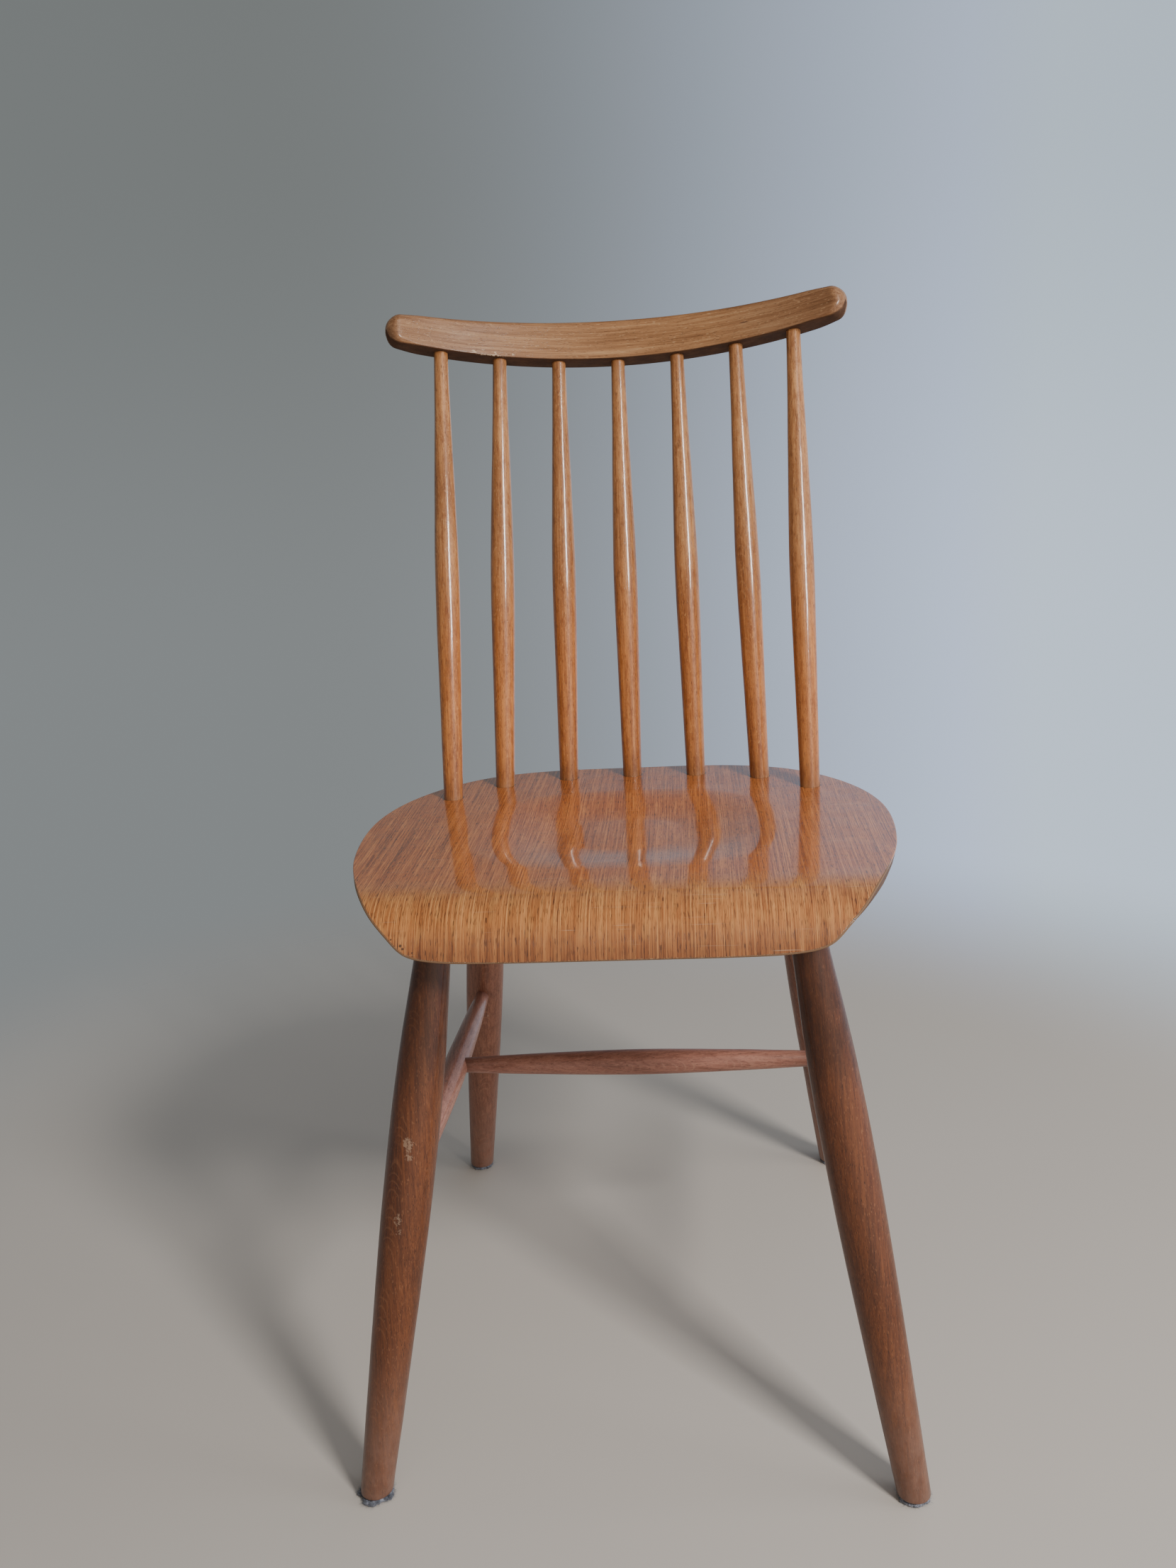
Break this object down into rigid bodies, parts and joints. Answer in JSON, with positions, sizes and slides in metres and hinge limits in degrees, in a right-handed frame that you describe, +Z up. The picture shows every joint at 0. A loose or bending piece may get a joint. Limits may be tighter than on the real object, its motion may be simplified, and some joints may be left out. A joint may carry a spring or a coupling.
{
  "type": "dining chair",
  "caption": "Wooden dining chair with a moulded veneered seat, a turned-spindle back under a curved crest rail, and splayed turned legs joined by an H stretcher.",
  "frame": {"origin": "under the middle of the chair's bounding box, on the floor", "axes": "+X to the sitter's left, +Y towards the backrest, +Z up"},
  "size_m": [0.4232, 0.5263, 0.8594],
  "materials": {
    "teak_veneer": "glossy clear lacquer over straight-grained teak veneer",
    "ply_core": "edge of moulded plywood, stained",
    "under_veneer": "thinly lacquered veneer",
    "rail_beech": "satin lacquer on honey-stained beech",
    "spindle_beech": "satin lacquer on honey-stained beech",
    "leg_beech": "satin lacquer on dark red-brown stained beech",
    "batten_wood": "plain sanded beech",
    "screw_steel": "zinc-plated",
    "felt": "grey pressed felt"
  },
  "bodies": {
    "root": {"crest_rail": "rail_beech", "spindle_1": "spindle_beech", "spindle_2": "spindle_beech", "spindle_3": "spindle_beech", "spindle_4": "spindle_beech", "spindle_5": "spindle_beech", "spindle_6": "spindle_beech", "spindle_7": "spindle_beech", "seat_top_veneer": "teak_veneer", "seat_core": "ply_core", "seat_bottom_veneer": "under_veneer", "front_batten": "batten_wood", "rear_batten": "batten_wood", "front_batten_screws": "screw_steel", "rear_batten_screws": "screw_steel", "front_left_leg": "leg_beech", "front_right_leg": "leg_beech", "rear_left_leg": "leg_beech", "rear_right_leg": "leg_beech", "left_side_stretcher": "leg_beech", "right_side_stretcher": "leg_beech", "cross_stretcher": "leg_beech", "front_left_felt_pad": "felt", "front_right_felt_pad": "felt", "rear_left_felt_pad": "felt", "rear_right_felt_pad": "felt"}
  },
  "joints": []
}
